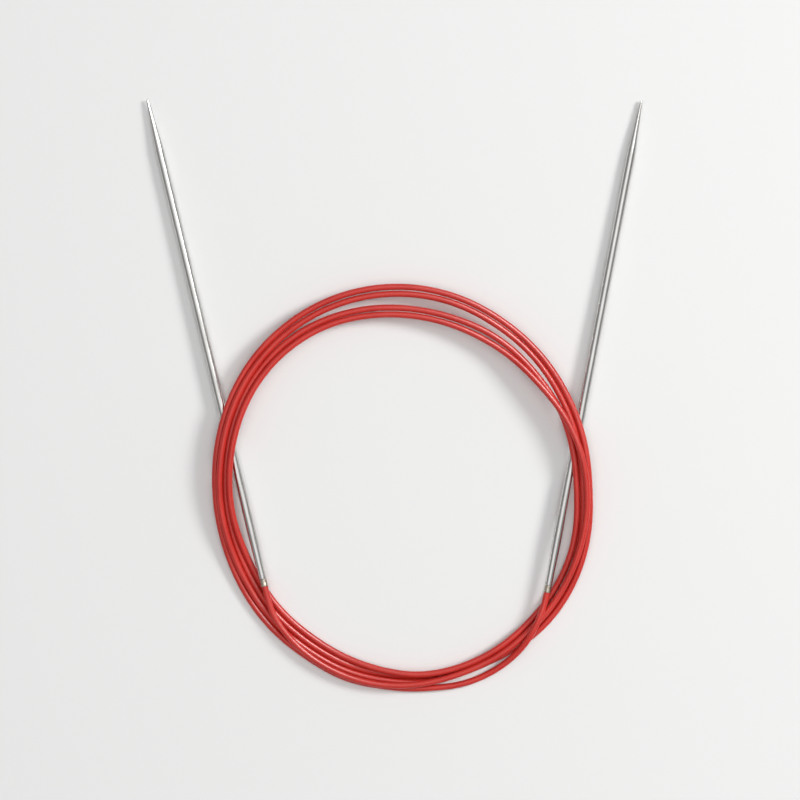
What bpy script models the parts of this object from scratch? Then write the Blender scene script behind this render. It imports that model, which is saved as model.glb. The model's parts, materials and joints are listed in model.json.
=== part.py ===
"""Circular knitting needle, 2.25 mm by 1.5 m, laid out flat with its cable coiled.

Two hollow stainless needles are joined by one length of nylon-covered steel cable.
The cable lies in a coil of a little over four turns, both needles pass under the coil,
and each end of the cable climbs over the coil into the neck of its needle.

Frame: +Z up, +Y towards the needle points, z = 0 is the table. The origin is at the
middle of the two needles, seen from above. Lengths are in metres.
"""
import bpy
import bmesh
from math import cos, pi, radians, sin
from mathutils import Vector

MM = 0.001

# Needle, from its point to the rim of its collar
NEEDLE_LENGTH = 127 * MM
SHAFT_RADIUS = 1.125 * MM
POINT_RADIUS = 0.32 * MM
TAPER_LENGTH = 13.5 * MM
NECK_RADIUS = 0.90 * MM
NECK_LENGTH = 15 * MM
SHAFT_BORE_RADIUS = 0.80 * MM
NECK_BORE_RADIUS = 0.65 * MM
BORE_LENGTH = 106 * MM

# Collar pressed on the cable's core at the needle's mouth
COLLAR_RADIUS = 0.88 * MM
COLLAR_LENGTH = 1.8 * MM
COLLAR_ROUND = 0.26 * MM

# Cable
CABLE_RADIUS = 0.80 * MM
CORE_RADIUS = 0.35 * MM
CORE_STRANDS = 6
CORE_LAY = 5.0 * MM
CORE_IN_NEEDLE = 11 * MM
STIFF_END = 3.2 * MM
GAP = 0.3 * MM

# Where the needles lie: plan position of each point and of each cable joint,
# and the height of the joint, which the coil holds up off the table
COIL_CENTRE = Vector((1.95, -36.0, 0)) * MM
LEFT_POINT = Vector((-62.6, 62.2)) * MM
LEFT_JOINT = Vector((-32.85, -60.9)) * MM
LEFT_JOINT_HEIGHT = 2.7 * MM
RIGHT_POINT = Vector((62.6, 61.82)) * MM
RIGHT_JOINT = Vector((38.65, -62.42)) * MM
RIGHT_JOINT_HEIGHT = 3.2 * MM
REST_FROM_POINT = 14 * MM

# The coil as one solid. Each station is an angle about the coil's centre in degrees,
# then the inner radius, outer radius, underside and top of the turns there, in mm.
# It rides over both needles, lies on the table along its near side, and has a step
# where each end of the cable leaves it.
COIL_STATIONS = (
    (0, 44.0, 48.3, 4.0, 6.9),
    (24, 44.0, 48.6, 3.9, 6.3),
    (48, 42.6, 49.4, 3.75, 5.4),
    (72, 42.6, 51.0, 3.7, 5.3),
    (96, 43.5, 51.8, 3.7, 5.3),
    (120, 45.0, 51.6, 3.7, 5.3),
    (144, 44.6, 50.4, 3.7, 5.6),
    (165, 43.5, 48.7, 3.7, 6.0),
    (176, 43.3, 48.2, 3.6, 5.9),
    (192, 42.7, 48.1, 1.5, 3.6),
    (207, 42.5, 48.5, 0.1, 1.7),
    (216, 43.9, 48.9, 0.0, 1.55),
    (240, 43.7, 49.9, 0.0, 1.55),
    (264, 45.7, 51.4, 0.0, 1.55),
    (266, 45.8, 51.4, 0.0, 1.55),
    (266.3, 45.8, 51.4, 0.0, 3.4),
    (277, 46.5, 52.0, 0.0, 3.0),
    (277.3, 46.5, 50.2, 0.0, 3.0),
    (300, 46.8, 50.3, 0.0, 2.8),
    (320, 47.8, 50.8, 0.0, 2.8),
    (330, 45.5, 50.4, 0.6, 3.5),
    (340, 44.3, 49.7, 1.7, 4.6),
    (352, 43.8, 48.7, 4.0, 6.9),
)
COIL_STEP_DEG = 4
COIL_EDGE = 0.4 * MM

# Routes of the two cable ends over the coil, from the needle to the coil: angle about
# the coil's centre in degrees, radius and height in mm
LEFT_LEAD_ROUTE = (
    (224, 45.75, 2.78),
    (230, 47.0, 2.75),
    (238, 48.3, 2.72),
    (248, 49.4, 2.7),
    (257, 50.0, 2.68),
    (265.65, 50.2, 2.65),
)
RIGHT_LEAD_ROUTE = (
    (317.5, 47.75, 3.8),
    (312, 49.4, 4.0),
    (306, 50.85, 3.85),
    (300, 51.7, 3.1),
    (294, 52.1, 2.1),
    (288, 52.15, 1.35),
    (282.5, 51.75, 1.0),
    (277.65, 51.2, 0.9),
)
LEAD_SPACING = 3.6 * MM

SIDES_ROUND = 24


def clear_scene():
    for thing in list(bpy.data.objects):
        bpy.data.objects.remove(thing)


def make_material(name, colour, roughness, metallic):
    material = bpy.data.materials.new(name)
    material.use_nodes = True
    shader = material.node_tree.nodes["Principled BSDF"]
    shader.inputs["Base Color"].default_value = (*colour, 1)
    shader.inputs["Roughness"].default_value = roughness
    shader.inputs["Metallic"].default_value = metallic
    material.diffuse_color = (*colour, 1)
    return material


def add_object(name, data, material, parent=None):
    piece = bpy.data.objects.new(name, data)
    bpy.context.scene.collection.objects.link(piece)
    data.materials.append(material)
    piece.parent = parent
    return piece


def add_mesh(name, bm, material, parent=None):
    bmesh.ops.recalc_face_normals(bm, faces=bm.faces)
    mesh = bpy.data.meshes.new(name)
    bm.to_mesh(mesh)
    bm.free()
    mesh.shade_smooth()
    mesh.set_sharp_from_angle(angle=radians(40))
    return add_object(name, mesh, material, parent)


def arc(centre_z, centre_r, radius, start_deg, end_deg, steps):
    """Points (r, z) on a rounded corner of a turned profile; 0 degrees is outward."""
    points = []
    for step in range(steps + 1):
        angle = radians(start_deg + (end_deg - start_deg) * step / steps)
        points.append((centre_r + radius * cos(angle), centre_z + radius * sin(angle)))
    return points


def turned(name, profile, material, parent, closed):
    """Turn a profile of (r, z) points about the local Z axis."""
    bm = bmesh.new()
    verts = [bm.verts.new((r, 0, z)) for r, z in profile]
    edges = [bm.edges.new(pair) for pair in zip(verts, verts[1:])]
    if closed:
        edges.append(bm.edges.new((verts[-1], verts[0])))
    bmesh.ops.spin(bm, geom=verts + edges, cent=(0, 0, 0), axis=(0, 0, 1),
                   angle=2 * pi, steps=SIDES_ROUND)
    bmesh.ops.remove_doubles(bm, verts=bm.verts, dist=0.001 * MM)
    return add_mesh(name, bm, material, parent)


def eased(start, end, steps):
    """Profile points from one (r, z) to another, easing in and out of each radius."""
    points = []
    for step in range(1, steps + 1):
        share = step / steps
        blend = (1 - cos(pi * share)) / 2
        points.append((start[0] + (end[0] - start[0]) * blend,
                       start[1] + (end[1] - start[1]) * share))
    return points


def needle_profile():
    """From the bore's blind end to the mouth, then along the outside to the point."""
    rim = STIFF_END + GAP
    mouth = rim + COLLAR_LENGTH + GAP
    tip = rim + NEEDLE_LENGTH
    edge = 0.08 * MM
    outside = [(NECK_RADIUS - edge, mouth), (NECK_RADIUS, mouth + edge)]
    outside += eased((NECK_RADIUS, mouth + edge), (SHAFT_RADIUS, rim + NECK_LENGTH), 8)
    shoulder = tip - TAPER_LENGTH - 1.5 * MM
    outside.append((SHAFT_RADIUS, (rim + NECK_LENGTH + shoulder) / 2))
    outside.append((SHAFT_RADIUS, shoulder))
    outside.append((SHAFT_RADIUS * 0.985, shoulder + 1.2 * MM))
    outside.append((SHAFT_RADIUS * 0.94, shoulder + 2.4 * MM))
    outside += arc(tip - POINT_RADIUS, 0, POINT_RADIUS, 8, 90, 5)
    bore_end = rim + BORE_LENGTH
    bore = [
        (0, bore_end + 1.5 * MM),
        (SHAFT_BORE_RADIUS, bore_end),
        (SHAFT_BORE_RADIUS, rim + NECK_LENGTH + 1 * MM),
        (NECK_BORE_RADIUS, rim + NECK_LENGTH - 3 * MM),
        (NECK_BORE_RADIUS, mouth),
    ]
    return bore + outside


def collar_profile():
    rim = STIFF_END + GAP
    outer = COLLAR_RADIUS - COLLAR_ROUND
    profile = arc(rim + COLLAR_ROUND, outer, COLLAR_ROUND, 270, 360, 5)
    profile += [
        (COLLAR_RADIUS, rim + COLLAR_LENGTH - 0.1 * MM),
        (COLLAR_RADIUS - 0.1 * MM, rim + COLLAR_LENGTH),
        (NECK_BORE_RADIUS, rim + COLLAR_LENGTH),
        (NECK_BORE_RADIUS, rim + 0.1 * MM),
        (NECK_BORE_RADIUS * 0.95, rim),
    ]
    return profile


def stiff_end_profile():
    edge = 0.12 * MM
    low = GAP / 2
    high = STIFF_END
    return [
        (0, low),
        (CABLE_RADIUS - edge, low),
        (CABLE_RADIUS, low + edge),
        (CABLE_RADIUS, high - edge),
        (CABLE_RADIUS - edge, high),
        (0, high),
    ]


def core_end(name, material, parent):
    """The steel rope's bare end: outer strands laid in a helix, as one solid."""
    around = CORE_STRANDS * 4
    lengthwise = 22
    start = STIFF_END + GAP
    bm = bmesh.new()
    rings = []
    for level in range(lengthwise + 1):
        along = CORE_IN_NEEDLE * level / lengthwise
        twist = 2 * pi * along / CORE_LAY
        ring = []
        for side in range(around):
            angle = 2 * pi * side / around
            radius = CORE_RADIUS * (0.91 + 0.09 * cos(CORE_STRANDS * angle))
            ring.append(bm.verts.new((radius * cos(angle + twist),
                                      radius * sin(angle + twist), start + along)))
        rings.append(ring)
    join_rings(bm, rings, around)
    bm.faces.new(rings[0])
    bm.faces.new(rings[-1])
    return add_mesh(name, bm, material, parent)


def join_rings(bm, rings, around):
    for lower, upper in zip(rings, rings[1:]):
        for side in range(around):
            after = (side + 1) % around
            bm.faces.new((lower[side], lower[after], upper[after], upper[side]))


def add_pivot(name, point, joint, joint_height):
    """An empty where the cable bends beside the needle, with Z along the needle.

    The needle's shaft touches the table a little behind its taper."""
    run = (point - joint).length - REST_FROM_POINT
    slope = (joint_height - SHAFT_RADIUS) / run
    plan = (point - joint).normalized()
    along = Vector((plan.x, plan.y, -slope)).normalized()
    rim = Vector((joint.x, joint.y, joint_height))
    pivot = bpy.data.objects.new(name, None)
    bpy.context.scene.collection.objects.link(pivot)
    pivot.location = rim - along * (STIFF_END + GAP)
    pivot.rotation_mode = "QUATERNION"
    pivot.rotation_quaternion = along.to_track_quat("Z", "Y")
    return pivot, along


def add_needle(side, pivot, steel, collar_steel, wire_steel, nylon):
    turned(side + "_needle", needle_profile(), steel, pivot, closed=False)
    turned(side + "_collar", collar_profile(), collar_steel, pivot, closed=True)
    core_end(side + "_core_end", wire_steel, pivot)
    turned(side + "_stiff_end", stiff_end_profile(), nylon, pivot, closed=False)


def from_polar(angle_deg, radius_mm, height_mm):
    angle = radians(angle_deg)
    offset = Vector((cos(angle), sin(angle), 0)) * radius_mm * MM
    return COIL_CENTRE + offset + Vector((0, 0, height_mm * MM))


def smooth_curve(points, spacing):
    """Points about one spacing apart on a Catmull-Rom curve through the route."""
    ends = [2 * points[0] - points[1]] + points + [2 * points[-1] - points[-2]]
    result = [points[0]]
    for a, b, c, d in zip(ends, ends[1:], ends[2:], ends[3:]):
        steps = max(1, round((c - b).length / spacing))
        for step in range(1, steps + 1):
            t = step / steps
            result.append(0.5 * (2 * b + (c - a) * t + (2 * a - 5 * b + 4 * c - d) * t ** 2
                                 + (3 * b - a - 3 * c + d) * t ** 3))
    return result


def add_lead(name, pivot, along, route, nylon):
    """The cable from the end of its stiff stretch, over the coil, to its place in it."""
    start = pivot.location - along * GAP / 2
    straight = pivot.location - along * 1.6 * MM
    points = smooth_curve([start, straight] + [from_polar(*place) for place in route],
                          LEAD_SPACING)
    curve = bpy.data.curves.new(name, "CURVE")
    curve.dimensions = "3D"
    curve.bevel_depth = CABLE_RADIUS
    curve.bevel_resolution = 2
    curve.use_fill_caps = True
    spline = curve.splines.new("POLY")
    spline.points.add(len(points) - 1)
    for slot, point in zip(spline.points, points):
        slot.co = (*point, 1)
    return add_object(name, curve, nylon)


def coil_angles():
    """Every station's angle, and steps in between where stations are far apart."""
    starts = [station[0] for station in COIL_STATIONS]
    angles = []
    for start, end in zip(starts, starts[1:] + [360]):
        steps = max(1, round((end - start) / COIL_STEP_DEG))
        angles += [start + (end - start) * step / steps for step in range(steps)]
    return angles


def coil_section(angle_deg):
    """Inner radius, outer radius, underside and top of the coil at an angle."""
    stations = COIL_STATIONS + ((360, *COIL_STATIONS[0][1:]),)
    for before, after in zip(stations, stations[1:]):
        if before[0] <= angle_deg < after[0]:
            share = (angle_deg - before[0]) / (after[0] - before[0])
            return [(a + (b - a) * share) * MM for a, b in zip(before[1:], after[1:])]


def add_coil(nylon):
    """One closed solid around all the turns, with chamfered edges and a flat underside."""
    edge = COIL_EDGE
    bm = bmesh.new()
    rings = []
    for angle_deg in coil_angles():
        inner, outer, low, high = coil_section(angle_deg)
        outline = (
            (inner + edge, low), (outer - edge, low), (outer, low + edge),
            (outer, high - edge), (outer - edge, high), (inner + edge, high),
            (inner, high - edge), (inner, low + edge),
        )
        angle = radians(angle_deg)
        rings.append([bm.verts.new((r * cos(angle), r * sin(angle), z)) for r, z in outline])
    join_rings(bm, rings + [rings[0]], len(outline))
    coil = add_mesh("cable_coil", bm, nylon)
    coil.location = COIL_CENTRE
    return coil


def build():
    clear_scene()
    steel = make_material("stainless_steel", (0.62, 0.61, 0.59), 0.24, 1.0)
    collar_steel = make_material("collar_steel", (0.50, 0.47, 0.43), 0.38, 1.0)
    wire_steel = make_material("core_wire", (0.45, 0.45, 0.46), 0.35, 1.0)
    nylon = make_material("red_nylon", (0.62, 0.035, 0.02), 0.32, 0.0)

    left, left_along = add_pivot("left_pivot", LEFT_POINT, LEFT_JOINT, LEFT_JOINT_HEIGHT)
    right, right_along = add_pivot("right_pivot", RIGHT_POINT, RIGHT_JOINT, RIGHT_JOINT_HEIGHT)
    add_needle("left", left, steel, collar_steel, wire_steel, nylon)
    add_needle("right", right, steel, collar_steel, wire_steel, nylon)
    add_lead("left_lead", left, left_along, LEFT_LEAD_ROUTE, nylon)
    add_lead("right_lead", right, right_along, RIGHT_LEAD_ROUTE, nylon)
    add_coil(nylon)


build()
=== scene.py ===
"""Visual model of a circular knitting needle, 2.25 mm by 1.5 m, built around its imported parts.

The cable is one smooth route out of the left needle, round four turns of coil and into the
right needle. Its plan goes through places given by angle and radius about the coil's centre.
Its heights come from laying each turn on the table, the needles and the turns below it.

Frame: as the parts, with +Z up and z = 0 on the table. Lengths are in metres.
"""
import json
import bmesh
import bpy
import numpy as np
from math import cos, pi, radians, sin
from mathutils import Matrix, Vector


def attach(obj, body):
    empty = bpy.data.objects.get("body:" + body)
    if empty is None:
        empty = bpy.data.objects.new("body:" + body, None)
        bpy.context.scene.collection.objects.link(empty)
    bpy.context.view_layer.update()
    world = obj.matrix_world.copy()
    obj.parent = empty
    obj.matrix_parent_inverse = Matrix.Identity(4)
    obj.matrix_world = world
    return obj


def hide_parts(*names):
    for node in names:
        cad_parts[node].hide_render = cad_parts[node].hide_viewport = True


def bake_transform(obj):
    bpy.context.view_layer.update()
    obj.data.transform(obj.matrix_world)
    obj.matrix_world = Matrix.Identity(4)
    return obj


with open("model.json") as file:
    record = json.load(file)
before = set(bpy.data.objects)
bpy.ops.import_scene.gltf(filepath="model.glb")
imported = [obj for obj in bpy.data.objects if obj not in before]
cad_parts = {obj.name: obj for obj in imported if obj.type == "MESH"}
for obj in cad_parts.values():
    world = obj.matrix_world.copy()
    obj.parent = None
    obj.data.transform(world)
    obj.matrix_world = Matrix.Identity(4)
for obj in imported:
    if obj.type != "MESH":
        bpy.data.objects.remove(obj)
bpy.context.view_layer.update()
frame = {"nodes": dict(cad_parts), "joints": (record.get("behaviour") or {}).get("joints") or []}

MM = 0.001

# Camera, straight above the table, and the lights' distance from the coil
CAMERA_HEIGHT = 1.1
VIEW_WIDTH = 203.2 * MM
VIEW_CENTRE = Vector((1.44, -13.65)) * MM
LIGHT_DISTANCE = 1.3
FLOOR_HALF = 3.0

# Needle, along its own axis: distances from the bend in the cable beside it
COLLAR_RIM = 3.5 * MM
COLLAR_LENGTH = 1.8 * MM
COLLAR_RADIUS = 0.92 * MM
NEEDLE_MOUTH = 5.4 * MM
NEEDLE_TIP = 130.5 * MM
NECK_END = 18.5 * MM
TAPER_LENGTH = 13.5 * MM
SHAFT_RADIUS = 1.125 * MM
NECK_RADIUS = 0.92 * MM
POINT_RADIUS = 0.32 * MM
BORE_RADIUS = 0.65 * MM
BORE_END = 109.5 * MM
BORE_CONE = 1.5 * MM
MOUTH_ROUND = 0.1 * MM
SHOULDER_ROUND = 1.4 * MM
RIM_ROUND = 0.3 * MM
COLLAR_EDGE = 0.06 * MM
CRIMP_DEPTH = 0.035 * MM
NEEDLE_SIDES = 64
COLLAR_SIDES = 48

# Cable
CABLE_RADIUS = 0.80 * MM
CABLE_SIDES = 20
SAMPLE = 0.8 * MM
STRANDS = 6
STRAND_LAY = 9 * MM
GIRTH = 2 * pi * CABLE_RADIUS

# The cable's places, as the parts have them: angle about the coil's centre in degrees,
# radius and height in mm, from each needle to where its end of the cable joins the coil
COIL_CENTRE = Vector((1.95, -36.0)) * MM
STRAIGHT_END = 1.6 * MM
LEFT_LEAD_ROUTE = (
    (224, 45.75, 2.78),
    (230, 47.0, 2.75),
    (238, 48.3, 2.72),
    (248, 49.4, 2.7),
    (257, 50.0, 2.68),
    (265.65, 50.2, 2.65),
)
RIGHT_LEAD_ROUTE = (
    (317.5, 47.75, 3.8),
    (312, 49.4, 4.0),
    (306, 50.85, 3.85),
    (300, 51.7, 3.1),
    (294, 52.1, 2.1),
    (288, 52.15, 1.35),
    (282.5, 51.75, 1.0),
    (277.65, 51.2, 0.9),
)

# Each of the four turns starts at 276 degrees: angle, then the turns' radii in mm
COIL_TURNS = (
    (276, 49.9, 47.6, 48.3, 49.5),
    (288, 49.3, 47.7, 47.8, 49.3),
    (300, 49.0, 47.5, 47.9, 49.5),
    (312, 48.5, 46.9, 48.5, 50.1),
    (324, 48.2, 46.6, 48.5, 50.0),
    (336, 47.8, 46.1, 47.8, 49.4),
    (348, 47.4, 45.3, 46.8, 48.4),
    (360, 46.9, 44.5, 45.8, 47.4),
    (372, 46.1, 44.6, 45.9, 47.4),
    (384, 45.0, 44.9, 46.2, 47.7),
    (396, 43.7, 44.5, 46.7, 48.3),
    (408, 43.3, 44.8, 47.3, 48.9),
    (420, 43.1, 45.1, 47.8, 49.5),
    (432, 43.3, 45.1, 48.6, 50.3),
    (456, 44.3, 46.05, 49.4, 51.2),
    (480, 45.6, 47.1, 49.2, 50.9),
    (504, 45.4, 46.7, 48.2, 49.6),
    (528, 44.2, 45.2, 46.7, 47.9),
    (552, 43.4, 44.6, 46.1, 47.2),
    (564, 43.0, 44.5, 46.0, 47.4),
    (576, 43.3, 45.0, 46.4, 48.0),
    (588, 44.0, 45.5, 47.0, 48.5),
    (600, 44.5, 46.0, 47.5, 49.0),
    (612, 45.4, 46.9, 48.5, 50.3),
    (624, 46.5, 47.5, 48.9, 50.5),
)

# How far the lowest turns stand off the table: angle in degrees, gap in mm. They lie on
# the needles at the sides, bridge stiffly between them, and come down to the table below.
STAND_OFF = (
    (0, 3.0),
    (8, 3.6),
    (22, 3.5),
    (95, 2.9),
    (160, 3.3),
    (172, 3.1),
    (190, 1.5),
    (206, 0.35),
    (214, 0.0),
    (312, 0.0),
    (326, 0.35),
    (340, 1.4),
)
EVEN_REACH = 5 * MM

# How the laid cable settles under its own weight. Two places that are nearer along the
# cable than OWN_STRETCH are on the same stretch and don't push on each other.
OWN_STRETCH = 60 * MM
STACKING_PASSES = 10
LAID_REACH = 3 * MM
LAID_OVERLAP = 1.25 * MM
SETTLING_STEPS = 600
ROUNDS_PER_STEP = 3
FALL = 0.02 * MM
LAST_FALL = 0.005 * MM
HOLD_TO_PLAN = 0.3
PUSH = 1.6
CLAMPED_END = 5.6 * MM


def joint_line(name):
    """The bend beside a needle and the direction from it to the needle's point."""
    joint = next(j for j in frame["joints"] if j["name"] == name)
    return Vector(joint["pos_m"]), Vector(joint["axis"]).normalized()


LEFT_BEND, LEFT_ALONG = joint_line("left_roll")
RIGHT_BEND, RIGHT_ALONG = joint_line("right_roll")


def add_camera():
    data = bpy.data.cameras.new("camera")
    data.lens = data.sensor_width * CAMERA_HEIGHT / VIEW_WIDTH
    data.clip_start = 0.05
    camera = bpy.data.objects.new("camera", data)
    camera.location = (*VIEW_CENTRE, CAMERA_HEIGHT)
    bpy.context.scene.collection.objects.link(camera)
    bpy.context.scene.camera = camera


# ---- the cable's route ----

def from_polar(angle_deg, radius_mm):
    angle = radians(angle_deg)
    return COIL_CENTRE + Vector((cos(angle), sin(angle))) * radius_mm * MM


def lead_places(bend, along, route):
    """A lead's points from the collar: its straight stiff end, then its route."""
    straight = [bend + along * COLLAR_RIM, bend + along * COLLAR_RIM / 2, bend,
                bend - along * STRAIGHT_END]
    points = [tuple(point) for point in straight]
    for angle_deg, radius_mm, height_mm in route:
        points.append((*from_polar(angle_deg, radius_mm), height_mm * MM))
    return np.array(points)


def coil_places():
    """Plan positions of the coil's four turns, one after another."""
    points = []
    for turn in range(4):
        for station in COIL_TURNS:
            points.append(tuple(from_polar(station[0], station[1 + turn])))
    return np.array(points)


def natural_spline(knots, values, at):
    """Smoothest curve through values at knots, evaluated at other places."""
    count = len(knots)
    gap = np.diff(knots)
    slope = np.diff(values, axis=0) / gap[:, None]
    system = np.eye(count)
    right_side = np.zeros_like(values)
    for i in range(1, count - 1):
        system[i, i - 1:i + 2] = gap[i - 1], 2 * (gap[i - 1] + gap[i]), gap[i]
        right_side[i] = 6 * (slope[i] - slope[i - 1])
    bend = np.linalg.solve(system, right_side)
    i = np.clip(np.searchsorted(knots, at) - 1, 0, count - 2)
    g = gap[i][:, None]
    a = (knots[i + 1] - at)[:, None]
    b = (at - knots[i])[:, None]
    return ((bend[i] * a ** 3 + bend[i + 1] * b ** 3) / (6 * g)
            + (values[i] / g - bend[i] * g / 6) * a
            + (values[i + 1] / g - bend[i + 1] * g / 6) * b)


def lengths_along(points):
    steps = np.linalg.norm(np.diff(points, axis=0), axis=1)
    return np.concatenate(([0], np.cumsum(steps)))


def running(values, reach, measure):
    """The maximum or average of values over reach samples each way, at each place."""
    padded = np.pad(values, reach, mode="edge")
    windows = np.lib.stride_tricks.sliding_window_view(padded, 2 * reach + 1)
    return measure(windows, axis=1)


def even_out(points):
    """The springy cable takes out small kinks between the places it goes through."""
    reach = round(EVEN_REACH / SAMPLE)
    weights = np.hanning(2 * reach + 3)[1:-1]
    weights /= weights.sum()
    padded = np.pad(points, ((reach, reach), (0, 0)), mode="reflect", reflect_type="odd")
    return np.column_stack([np.convolve(line, weights, mode="valid") for line in padded.T])


def stand_off(plan):
    """Lowest height of the cable's centre line at each place of the plan."""
    offset = plan - np.array(COIL_CENTRE)
    angle = np.degrees(np.arctan2(offset[:, 1], offset[:, 0])) % 360
    stations = np.array(STAND_OFF)
    gap = np.interp(angle, stations[:, 0], stations[:, 1], period=360)
    return CABLE_RADIUS + gap * MM


def needle_top(plan, bend, along):
    """Height at which the cable lies on a needle's shaft, or 0 away from it."""
    flat = np.array(along.xy.normalized())
    offset = plan - np.array(bend.xy)
    run = offset @ flat
    beside = offset @ np.array((-flat[1], flat[0]))
    touch = SHAFT_RADIUS + CABLE_RADIUS
    axis_height = bend.z + along.z / along.xy.length * run
    top = axis_height + np.sqrt(np.clip(touch ** 2 - beside ** 2, 0, None))
    over = (np.abs(beside) < touch) & (run > NECK_END) & (run < NEEDLE_TIP)
    return np.where(over, top, 0)


def laid_heights(plan, base, right_start):
    """First heights: each part of the cable laid over what is below it, with room to spare.

    The coil was laid down from its right end, so an earlier stretch lies on a later one,
    but the right lead comes back over everything."""
    place = np.arange(len(plan))
    own = round(OWN_STRETCH / SAMPLE)
    apart = np.linalg.norm(plan[:, None] - plan[None], axis=2)
    lead = place >= right_start
    lies_on = (place[:, None] < place[None] - own) & ~lead[None]
    lies_on |= lead[:, None] & (place[None] < place[:, None] - own)
    lies_on &= apart < LAID_OVERLAP
    reach = round(LAID_REACH / SAMPLE)
    height = base
    for _ in range(STACKING_PASSES):
        below = np.where(lies_on, height[None] + 2 * CABLE_RADIUS, 0).max(axis=1)
        height = running(np.maximum(base, below), reach, np.max)
        height = running(height, reach, np.mean)
    return height


def neighbours(points):
    """Pairs of places on different stretches of the cable that lie side by side."""
    plan = points[:, :2]
    own = round(OWN_STRETCH / SAMPLE)
    ahead = np.gradient(plan, axis=0)
    ahead /= np.linalg.norm(ahead, axis=1)[:, None]
    offset = plan[None] - plan[:, None]
    along = np.abs(np.einsum("ijk,ik->ij", offset, ahead))
    close = (np.linalg.norm(offset, axis=2) < 4 * CABLE_RADIUS) & (along <= 0.51 * SAMPLE)
    first, second = np.nonzero(close)
    apart = np.abs(first - second) > own
    return first[apart], second[apart]


def soften(values):
    """One step of smoothing along the cable, with its ends kept."""
    result = values.copy()
    result[1:-1] = (values[:-2] + 2 * values[1:-1] + values[2:]) / 4
    return result


def push_apart(points, first, second):
    """Move touching stretches of cable away from each other until they only touch."""
    ahead = np.gradient(points, axis=0)
    ahead /= np.linalg.norm(ahead, axis=1)[:, None]
    offset = points[second] - points[first]
    direction = ahead[first]
    offset -= direction * np.einsum("ij,ij->i", offset, direction)[:, None]
    distance = np.linalg.norm(offset, axis=1)
    overlap = np.clip(2 * CABLE_RADIUS - distance, 0, None)
    push = offset * (overlap / np.maximum(distance, 0.01 * MM) / 2)[:, None]
    count = np.maximum(np.bincount(first[overlap > 0], minlength=len(points))
                       + np.bincount(second[overlap > 0], minlength=len(points)), 1)
    moved = np.zeros_like(points)
    np.add.at(moved, first, -push)
    np.add.at(moved, second, push)
    return points + moved * (PUSH / count)[:, None]


def settle(plan, height, base, fixed):
    """Let the laid cable sink until its turns lie beside and on each other."""
    points = np.column_stack((plan, height))
    ends = points[fixed]
    first, second = neighbours(points)
    for step in range(SETTLING_STEPS):
        fall = FALL if step < SETTLING_STEPS / 2 else LAST_FALL
        shift = points[:, :2] - plan
        shift *= 1 - HOLD_TO_PLAN
        points[:, 2] -= fall
        for _ in range(ROUNDS_PER_STEP):
            shift = soften(shift)
            points[:, 2] = soften(points[:, 2])
        points[:, :2] = plan + shift
        for _ in range(ROUNDS_PER_STEP):
            points = push_apart(points, first, second)
            points[:, 2] = np.maximum(points[:, 2], base)
        points[fixed] = ends
    return points


def over_lead(height, fixed, at, knots, lead):
    """Heights with one lead's own: as listed where it is clamped, no lower beyond."""
    stretch = (at >= knots[0]) & (at <= knots[-1])
    listed = np.interp(at, knots, lead[:, 2])
    height = np.where(stretch, np.maximum(height, listed), height)
    return np.where(stretch & fixed, listed, height)


def cable_route():
    """Centre line from collar to collar, and where its leads join the coil."""
    left = lead_places(LEFT_BEND, LEFT_ALONG, LEFT_LEAD_ROUTE)
    right = lead_places(RIGHT_BEND, RIGHT_ALONG, RIGHT_LEAD_ROUTE)[::-1]
    places = np.concatenate((left[:, :2], coil_places(), right[:, :2]))
    knots = lengths_along(places)
    count = round(knots[-1] / SAMPLE)
    at = np.linspace(0, knots[-1], count + 1)
    plan = even_out(natural_spline(knots, places, at))
    left_end = int(np.searchsorted(at, knots[len(left) - 1]))
    right_start = int(np.searchsorted(at, knots[-len(right)]))

    base = stand_off(plan)
    for bend, along in ((LEFT_BEND, LEFT_ALONG), (RIGHT_BEND, RIGHT_ALONG)):
        base = np.maximum(base, needle_top(plan, bend, along))
    height = laid_heights(plan, base, right_start)
    fixed = (at < CLAMPED_END) | (at > at[-1] - CLAMPED_END)
    height = over_lead(height, fixed, at, knots[:len(left)], left)
    height = over_lead(height, fixed, at, knots[-len(right):], right)
    return even_out(settle(plan, height, base, fixed)), left_end, right_start


# ---- meshes ----

def add_piece(name, bm, material, body, replaced):
    bmesh.ops.recalc_face_normals(bm, faces=bm.faces)
    mesh = bpy.data.meshes.new(name)
    bm.to_mesh(mesh)
    bm.free()
    mesh.shade_smooth()
    mesh.set_sharp_from_angle(angle=radians(35))
    mesh.materials.append(material)
    piece = bpy.data.objects.new(name, mesh)
    bpy.context.scene.collection.objects.link(piece)
    if body:
        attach(piece, body)
    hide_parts(*replaced)
    return piece


def tube_frames(points):
    """Tangents of a line and sideways vectors carried along it without twisting."""
    tangents = np.gradient(points, axis=0)
    tangents /= np.linalg.norm(tangents, axis=1)[:, None]
    side = np.cross(tangents[0], (0, 0, 1.0))
    sides = []
    for tangent in tangents:
        side = side - tangent * (side @ tangent)
        side = side / np.linalg.norm(side)
        sides.append(side)
    sides = np.array(sides)
    return sides, np.cross(tangents, sides)


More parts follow.
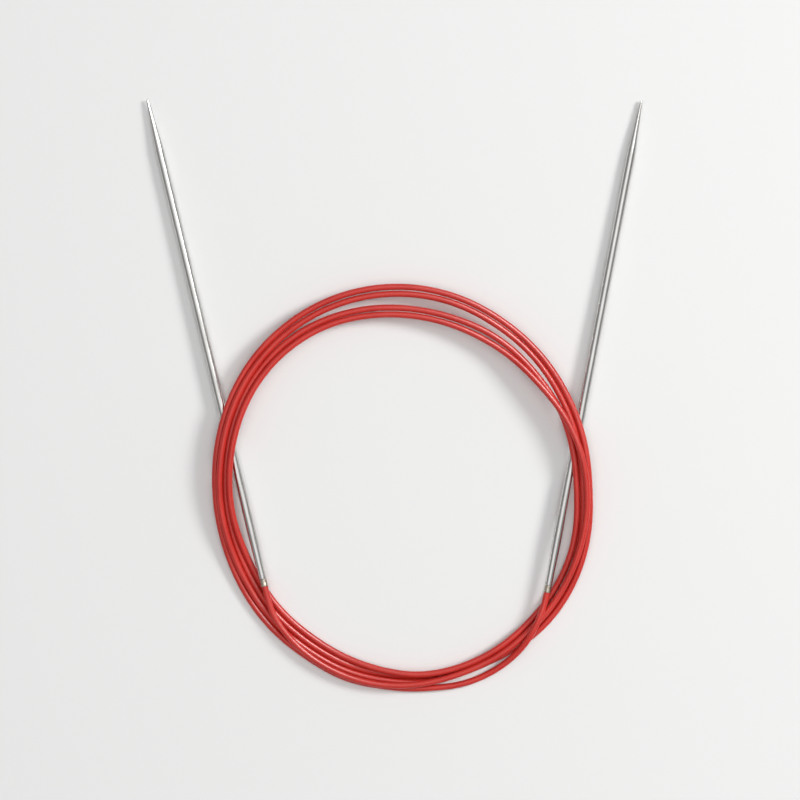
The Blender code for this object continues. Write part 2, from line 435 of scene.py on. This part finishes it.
def cable_mesh(route, sides, ups, along, first, last):
    """A closed tube round one stretch of the route, with its length and girth as UVs."""
    bm = bmesh.new()
    uv = bm.loops.layers.uv.new("UVMap")
    rings = []
    for i in range(first, last + 1):
        ring = []
        for side in range(CABLE_SIDES):
            angle = 2 * pi * side / CABLE_SIDES
            out = sides[i] * cos(angle) + ups[i] * sin(angle)
            ring.append(bm.verts.new(route[i] + out * CABLE_RADIUS))
        rings.append(ring)
    for i, (lower, upper) in enumerate(zip(rings, rings[1:])):
        v = (along[first + i] / GIRTH, along[first + i + 1] / GIRTH)
        for side in range(CABLE_SIDES):
            after = (side + 1) % CABLE_SIDES
            face = bm.faces.new((lower[side], lower[after], upper[after], upper[side]))
            u = (side / CABLE_SIDES, (side + 1) / CABLE_SIDES)
            corners = ((u[0], v[0]), (u[1], v[0]), (u[1], v[1]), (u[0], v[1]))
            for loop, corner in zip(face.loops, corners):
                loop[uv].uv = corner
    bm.faces.new(rings[0])
    bm.faces.new(rings[-1])
    return bm


def add_cable(nylon):
    route, left_end, right_start = cable_route()
    along = lengths_along(route)
    sides, ups = tube_frames(route)
    stretches = (
        ("left_cable_lead", 0, left_end, ("left_stiff_end", "left_lead")),
        ("coiled_cable", left_end, right_start, ("cable_coil",)),
        ("right_cable_lead", right_start, len(route) - 1, ("right_stiff_end", "right_lead")),
    )
    pieces = []
    for name, first, last, replaced in stretches:
        bm = cable_mesh(route, sides, ups, along, first, last)
        body = "coil" if name == "coiled_cable" else None
        piece = add_piece(name, bm, nylon, body, replaced)
        pieces.append((piece, route[first:last + 1], along[last] - along[first]))
    left, coil, right = pieces
    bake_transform(left[0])
    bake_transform(right[0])


def arc(centre_r, centre_z, radius, start_deg, end_deg, steps):
    """Points (r, z) round a turned profile's corner; 0 degrees is outward."""
    turn = [start_deg + (end_deg - start_deg) * step / steps for step in range(steps + 1)]
    return [(centre_r + radius * cos(radians(t)), centre_z + radius * sin(radians(t)))
            for t in turn]


def needle_profile():
    """From the bore's blind end to the mouth, then along the outside to the point."""
    bore = [(0, BORE_END + BORE_CONE), (BORE_RADIUS, BORE_END), (BORE_RADIUS, NEEDLE_MOUTH)]
    outside = arc(NECK_RADIUS - MOUTH_ROUND, NEEDLE_MOUTH + MOUTH_ROUND, MOUTH_ROUND, -90, 0, 4)
    neck_steps = 16
    for step in range(1, neck_steps + 1):
        share = step / neck_steps
        ease = (1 - cos(pi * share)) / 2
        outside.append((NECK_RADIUS + (SHAFT_RADIUS - NECK_RADIUS) * ease,
                        NEEDLE_MOUTH + (NECK_END - NEEDLE_MOUTH) * share))

    shoulder = NEEDLE_TIP - TAPER_LENGTH
    shaft_steps = 12
    for step in range(1, shaft_steps):
        along = (shoulder - SHOULDER_ROUND - NECK_END) * step / shaft_steps
        outside.append((SHAFT_RADIUS, NECK_END + along))

    slope = (SHAFT_RADIUS - POINT_RADIUS) / (TAPER_LENGTH - POINT_RADIUS)
    shoulder_steps = 12
    for step in range(shoulder_steps + 1):
        along = -SHOULDER_ROUND + 2 * SHOULDER_ROUND * step / shoulder_steps
        ease = (step / shoulder_steps) ** 2
        outside.append((SHAFT_RADIUS - slope * SHOULDER_ROUND * ease, shoulder + along))

    cone_start = shoulder + SHOULDER_ROUND
    cone_end = NEEDLE_TIP - POINT_RADIUS
    start_radius = SHAFT_RADIUS - slope * SHOULDER_ROUND
    cone_steps = 9
    for step in range(1, cone_steps):
        share = step / cone_steps
        outside.append((start_radius + (POINT_RADIUS - start_radius) * share,
                        cone_start + (cone_end - cone_start) * share))
    outside += arc(0, cone_end, POINT_RADIUS, 4, 90, 8)
    return bore + outside


def collar_profile():
    """A crimped band with a rounded rim, from inside its rim to inside its other end."""
    end = COLLAR_RIM + COLLAR_LENGTH
    inside = CABLE_RADIUS * 0.97
    lip = RIM_ROUND / 4
    profile = [(inside, end), (inside, COLLAR_RIM + RIM_ROUND / 2)]
    profile += arc(COLLAR_RADIUS - lip, COLLAR_RIM + lip, lip, 225, 360, 6)
    crimp_steps = 9
    for step in range(1, crimp_steps):
        share = step / crimp_steps
        dip = sin(pi * share) ** 2
        height = COLLAR_RIM + RIM_ROUND + (end - RIM_ROUND - COLLAR_RIM) * share
        profile.append((COLLAR_RADIUS - CRIMP_DEPTH * dip, height))
    profile += arc(COLLAR_RADIUS - COLLAR_EDGE, end - COLLAR_EDGE, COLLAR_EDGE, 0, 90, 3)
    return profile


def turned(name, profile, closed, side, steps, material, replaced):
    """Turn a profile of (r, z) points about a needle's axis."""
    bend, along = (LEFT_BEND, LEFT_ALONG) if side == "left" else (RIGHT_BEND, RIGHT_ALONG)
    bm = bmesh.new()
    verts = [bm.verts.new((r, 0, z)) for r, z in profile]
    edges = [bm.edges.new(pair) for pair in zip(verts, verts[1:])]
    if closed:
        edges.append(bm.edges.new((verts[-1], verts[0])))
    bmesh.ops.spin(bm, geom=verts + edges, cent=(0, 0, 0), axis=(0, 0, 1),
                   angle=2 * pi, steps=steps)
    bmesh.ops.remove_doubles(bm, verts=bm.verts, dist=0.002 * MM)
    piece = add_piece(f"{side}_{name}", bm, material, None, replaced)
    piece.location = bend
    piece.rotation_mode = "QUATERNION"
    piece.rotation_quaternion = along.to_track_quat("Z", "Y")
    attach(piece, f"{side}_needle")


# ---- materials ----

def start_material(name, colour, roughness, metallic):
    material = bpy.data.materials.new(name)
    material.use_nodes = True
    material.diffuse_color = (*colour, 1)
    tree = material.node_tree
    shader = tree.nodes["Principled BSDF"]
    shader.inputs["Base Color"].default_value = (*colour, 1)
    shader.inputs["Roughness"].default_value = roughness
    shader.inputs["Metallic"].default_value = metallic
    return material, tree, shader


def noise(tree, coordinate, scale, detail):
    """A noise whose features are 1 / scale metres long in each direction."""
    source = tree.nodes.new("ShaderNodeTexCoord")
    stretch = tree.nodes.new("ShaderNodeMapping")
    stretch.inputs["Scale"].default_value = scale
    texture = tree.nodes.new("ShaderNodeTexNoise")
    texture.inputs["Scale"].default_value = 1
    texture.inputs["Detail"].default_value = detail
    tree.links.new(source.outputs[coordinate], stretch.inputs["Vector"])
    tree.links.new(stretch.outputs["Vector"], texture.inputs["Vector"])
    return texture.outputs["Fac"]


def ramp(tree, factor, stops):
    node = tree.nodes.new("ShaderNodeValToRGB")
    elements = node.color_ramp.elements
    while len(elements) < len(stops):
        elements.new(0.5)
    for element, (place, colour) in zip(elements, stops):
        element.position = place
        element.color = (*colour, 1)
    tree.links.new(factor, node.inputs["Fac"])
    return node.outputs["Color"]


def spread(tree, factor, low, high):
    """A number from low to high as factor goes over the middle of its range."""
    node = tree.nodes.new("ShaderNodeMapRange")
    node.inputs["From Min"].default_value = 0.3
    node.inputs["From Max"].default_value = 0.7
    node.inputs["To Min"].default_value = low
    node.inputs["To Max"].default_value = high
    tree.links.new(factor, node.inputs["Value"])
    return node.outputs["Result"]


def calculate(tree, operation, *values):
    node = tree.nodes.new("ShaderNodeMath")
    node.operation = operation
    for slot, value in zip(node.inputs, values):
        if isinstance(value, (int, float)):
            slot.default_value = value
        else:
            tree.links.new(value, slot)
    return node.outputs["Value"]


def bump(tree, shader, height, depth, strength):
    node = tree.nodes.new("ShaderNodeBump")
    node.inputs["Strength"].default_value = strength
    node.inputs["Distance"].default_value = depth
    tree.links.new(height, node.inputs["Height"])
    tree.links.new(node.outputs["Normal"], shader.inputs["Normal"])


def satin_steel(name, light, dark, roughness, depth):
    """Polished steel with fine turning rings, faint long streaks and soft cloudiness."""
    material, tree, shader = start_material(name, light, roughness, 1)
    cloud = noise(tree, "Object", (350, 350, 90), 3)
    colour = ramp(tree, cloud, ((0.3, dark), (0.65, light)))
    tree.links.new(colour, shader.inputs["Base Color"])
    streaks = noise(tree, "Object", (2600, 2600, 140), 3)
    tree.links.new(spread(tree, streaks, roughness * 0.82, roughness * 1.25),
                   shader.inputs["Roughness"])
    rings = noise(tree, "Object", (160, 160, 9000), 4)
    marks = calculate(tree, "ADD", rings, calculate(tree, "MULTIPLY", streaks, 0.5))
    bump(tree, shader, marks, depth, 0.35)
    return material


def wound_wire():
    """The bare steel rope inside each needle."""
    material, tree, shader = start_material("wound_wire", (0.42, 0.42, 0.43), 0.35, 1)
    grain = noise(tree, "Object", (2500, 2500, 2500), 4)
    colour = ramp(tree, grain, ((0.3, (0.28, 0.28, 0.29)), (0.7, (0.52, 0.52, 0.53))))
    tree.links.new(colour, shader.inputs["Base Color"])
    tree.links.new(spread(tree, grain, 0.25, 0.5), shader.inputs["Roughness"])
    bump(tree, shader, grain, 0.01 * MM, 0.4)
    return material


def red_nylon():
    """Glossy nylon over a steel rope, whose strands just show through as a helix."""
    red = (0.54, 0.027, 0.019)
    material, tree, shader = start_material("red_nylon", red, 0.30, 0)
    shader.inputs["IOR"].default_value = 1.46

    source = tree.nodes.new("ShaderNodeTexCoord")
    split = tree.nodes.new("ShaderNodeSeparateXYZ")
    tree.links.new(source.outputs["UV"], split.inputs["Vector"])
    round_turns = calculate(tree, "MULTIPLY", split.outputs["X"], STRANDS)
    lay_turns = calculate(tree, "MULTIPLY", split.outputs["Y"], STRANDS * GIRTH / STRAND_LAY)
    phase = calculate(tree, "MULTIPLY", calculate(tree, "ADD", round_turns, lay_turns), 2 * pi)
    ridges = calculate(tree, "SINE", phase)

    cloud = noise(tree, "Object", (120, 120, 120), 3)
    grain = noise(tree, "Object", (3500, 3500, 3500), 4)
    tint = calculate(tree, "MULTIPLY_ADD", ridges, 0.10, cloud)
    colour = ramp(tree, tint, ((0.25, (0.48, 0.020, 0.014)), (0.5, red),
                               (0.75, (0.58, 0.035, 0.025))))
    tree.links.new(colour, shader.inputs["Base Color"])
    tree.links.new(spread(tree, grain, 0.25, 0.38), shader.inputs["Roughness"])
    relief = calculate(tree, "MULTIPLY_ADD", grain, 0.35, ridges)
    bump(tree, shader, relief, 0.004 * MM, 0.6)
    return material


def finish_cores(wire):
    for side in ("left", "right"):
        node = frame["nodes"][f"{side}_core_end"]
        node.data.materials.clear()
        node.data.materials.append(wire)


# ---- surroundings ----

def add_floor():
    bm = bmesh.new()
    corners = ((-1, -1), (1, -1), (1, 1), (-1, 1))
    bm.faces.new([bm.verts.new((x * FLOOR_HALF, y * FLOOR_HALF, 0)) for x, y in corners])
    mesh = bpy.data.meshes.new("floor")
    bm.to_mesh(mesh)
    bm.free()
    material, _, shader = start_material("pale_floor", (0.80, 0.80, 0.79), 0.9, 0)
    shader.inputs["Specular IOR Level"].default_value = 0.1
    mesh.materials.append(material)
    floor = bpy.data.objects.new("floor", mesh)
    bpy.context.scene.collection.objects.link(floor)


def add_light(name, azimuth_deg, elevation_deg, diameter, power):
    """A round soft light aimed at the coil."""
    azimuth = radians(azimuth_deg)
    elevation = radians(elevation_deg)
    direction = Vector((cos(azimuth) * cos(elevation), sin(azimuth) * cos(elevation),
                        sin(elevation)))
    data = bpy.data.lights.new(name, "AREA")
    data.shape = "DISK"
    data.size = diameter
    data.energy = power
    light = bpy.data.objects.new(name, data)
    light.location = Vector((*COIL_CENTRE, 0)) + direction * LIGHT_DISTANCE
    light.rotation_mode = "QUATERNION"
    light.rotation_quaternion = direction.to_track_quat("Z", "Y")
    bpy.context.scene.collection.objects.link(light)
    return light


def add_lights():
    """The key and the fill light the scene, and the gleam gives the cable its sheen."""
    key = add_light("key", azimuth_deg=20, elevation_deg=36, diameter=0.42, power=10.5)
    key.visible_glossy = False
    fill = add_light("fill", azimuth_deg=0, elevation_deg=90, diameter=1.0, power=3.4)
    fill.visible_glossy = False
    gleam = add_light("gleam", azimuth_deg=50, elevation_deg=48, diameter=0.55, power=25)
    gleam.visible_diffuse = False


def add_world():
    """A bright patch of ceiling overhead, and darker walls."""
    world = bpy.data.worlds.new("studio")
    world.use_nodes = True
    tree = world.node_tree
    background = tree.nodes["Background"]
    source = tree.nodes.new("ShaderNodeTexCoord")
    split = tree.nodes.new("ShaderNodeSeparateXYZ")
    tree.links.new(source.outputs["Generated"], split.inputs["Vector"])
    sky = ramp(tree, split.outputs["Z"], (
        (0.0, (0.22, 0.22, 0.225)), (0.82, (0.30, 0.30, 0.305)),
        (0.94, (0.98, 0.98, 0.99)), (1.0, (1.0, 1.0, 1.0))))
    tree.links.new(sky, background.inputs["Color"])
    background.inputs["Strength"].default_value = 1.2
    bpy.context.scene.world = world


def main():
    add_camera()
    add_cable(red_nylon())
    steel = satin_steel("satin_steel", light=(0.66, 0.65, 0.63), dark=(0.57, 0.56, 0.54),
                        roughness=0.20, depth=0.004 * MM)
    collar_steel = satin_steel("collar_steel", light=(0.52, 0.46, 0.38), dark=(0.40, 0.35, 0.29),
                               roughness=0.34, depth=0.008 * MM)
    for side in ("left", "right"):
        turned("needle_shaft", needle_profile(), False, side, NEEDLE_SIDES, steel,
               (f"{side}_needle",))
        turned("joint_collar", collar_profile(), True, side, COLLAR_SIDES, collar_steel,
               (f"{side}_collar",))
    finish_cores(wound_wire())
    add_floor()
    add_world()
    add_lights()
    bpy.context.scene.view_settings.view_transform = "Standard"


main()
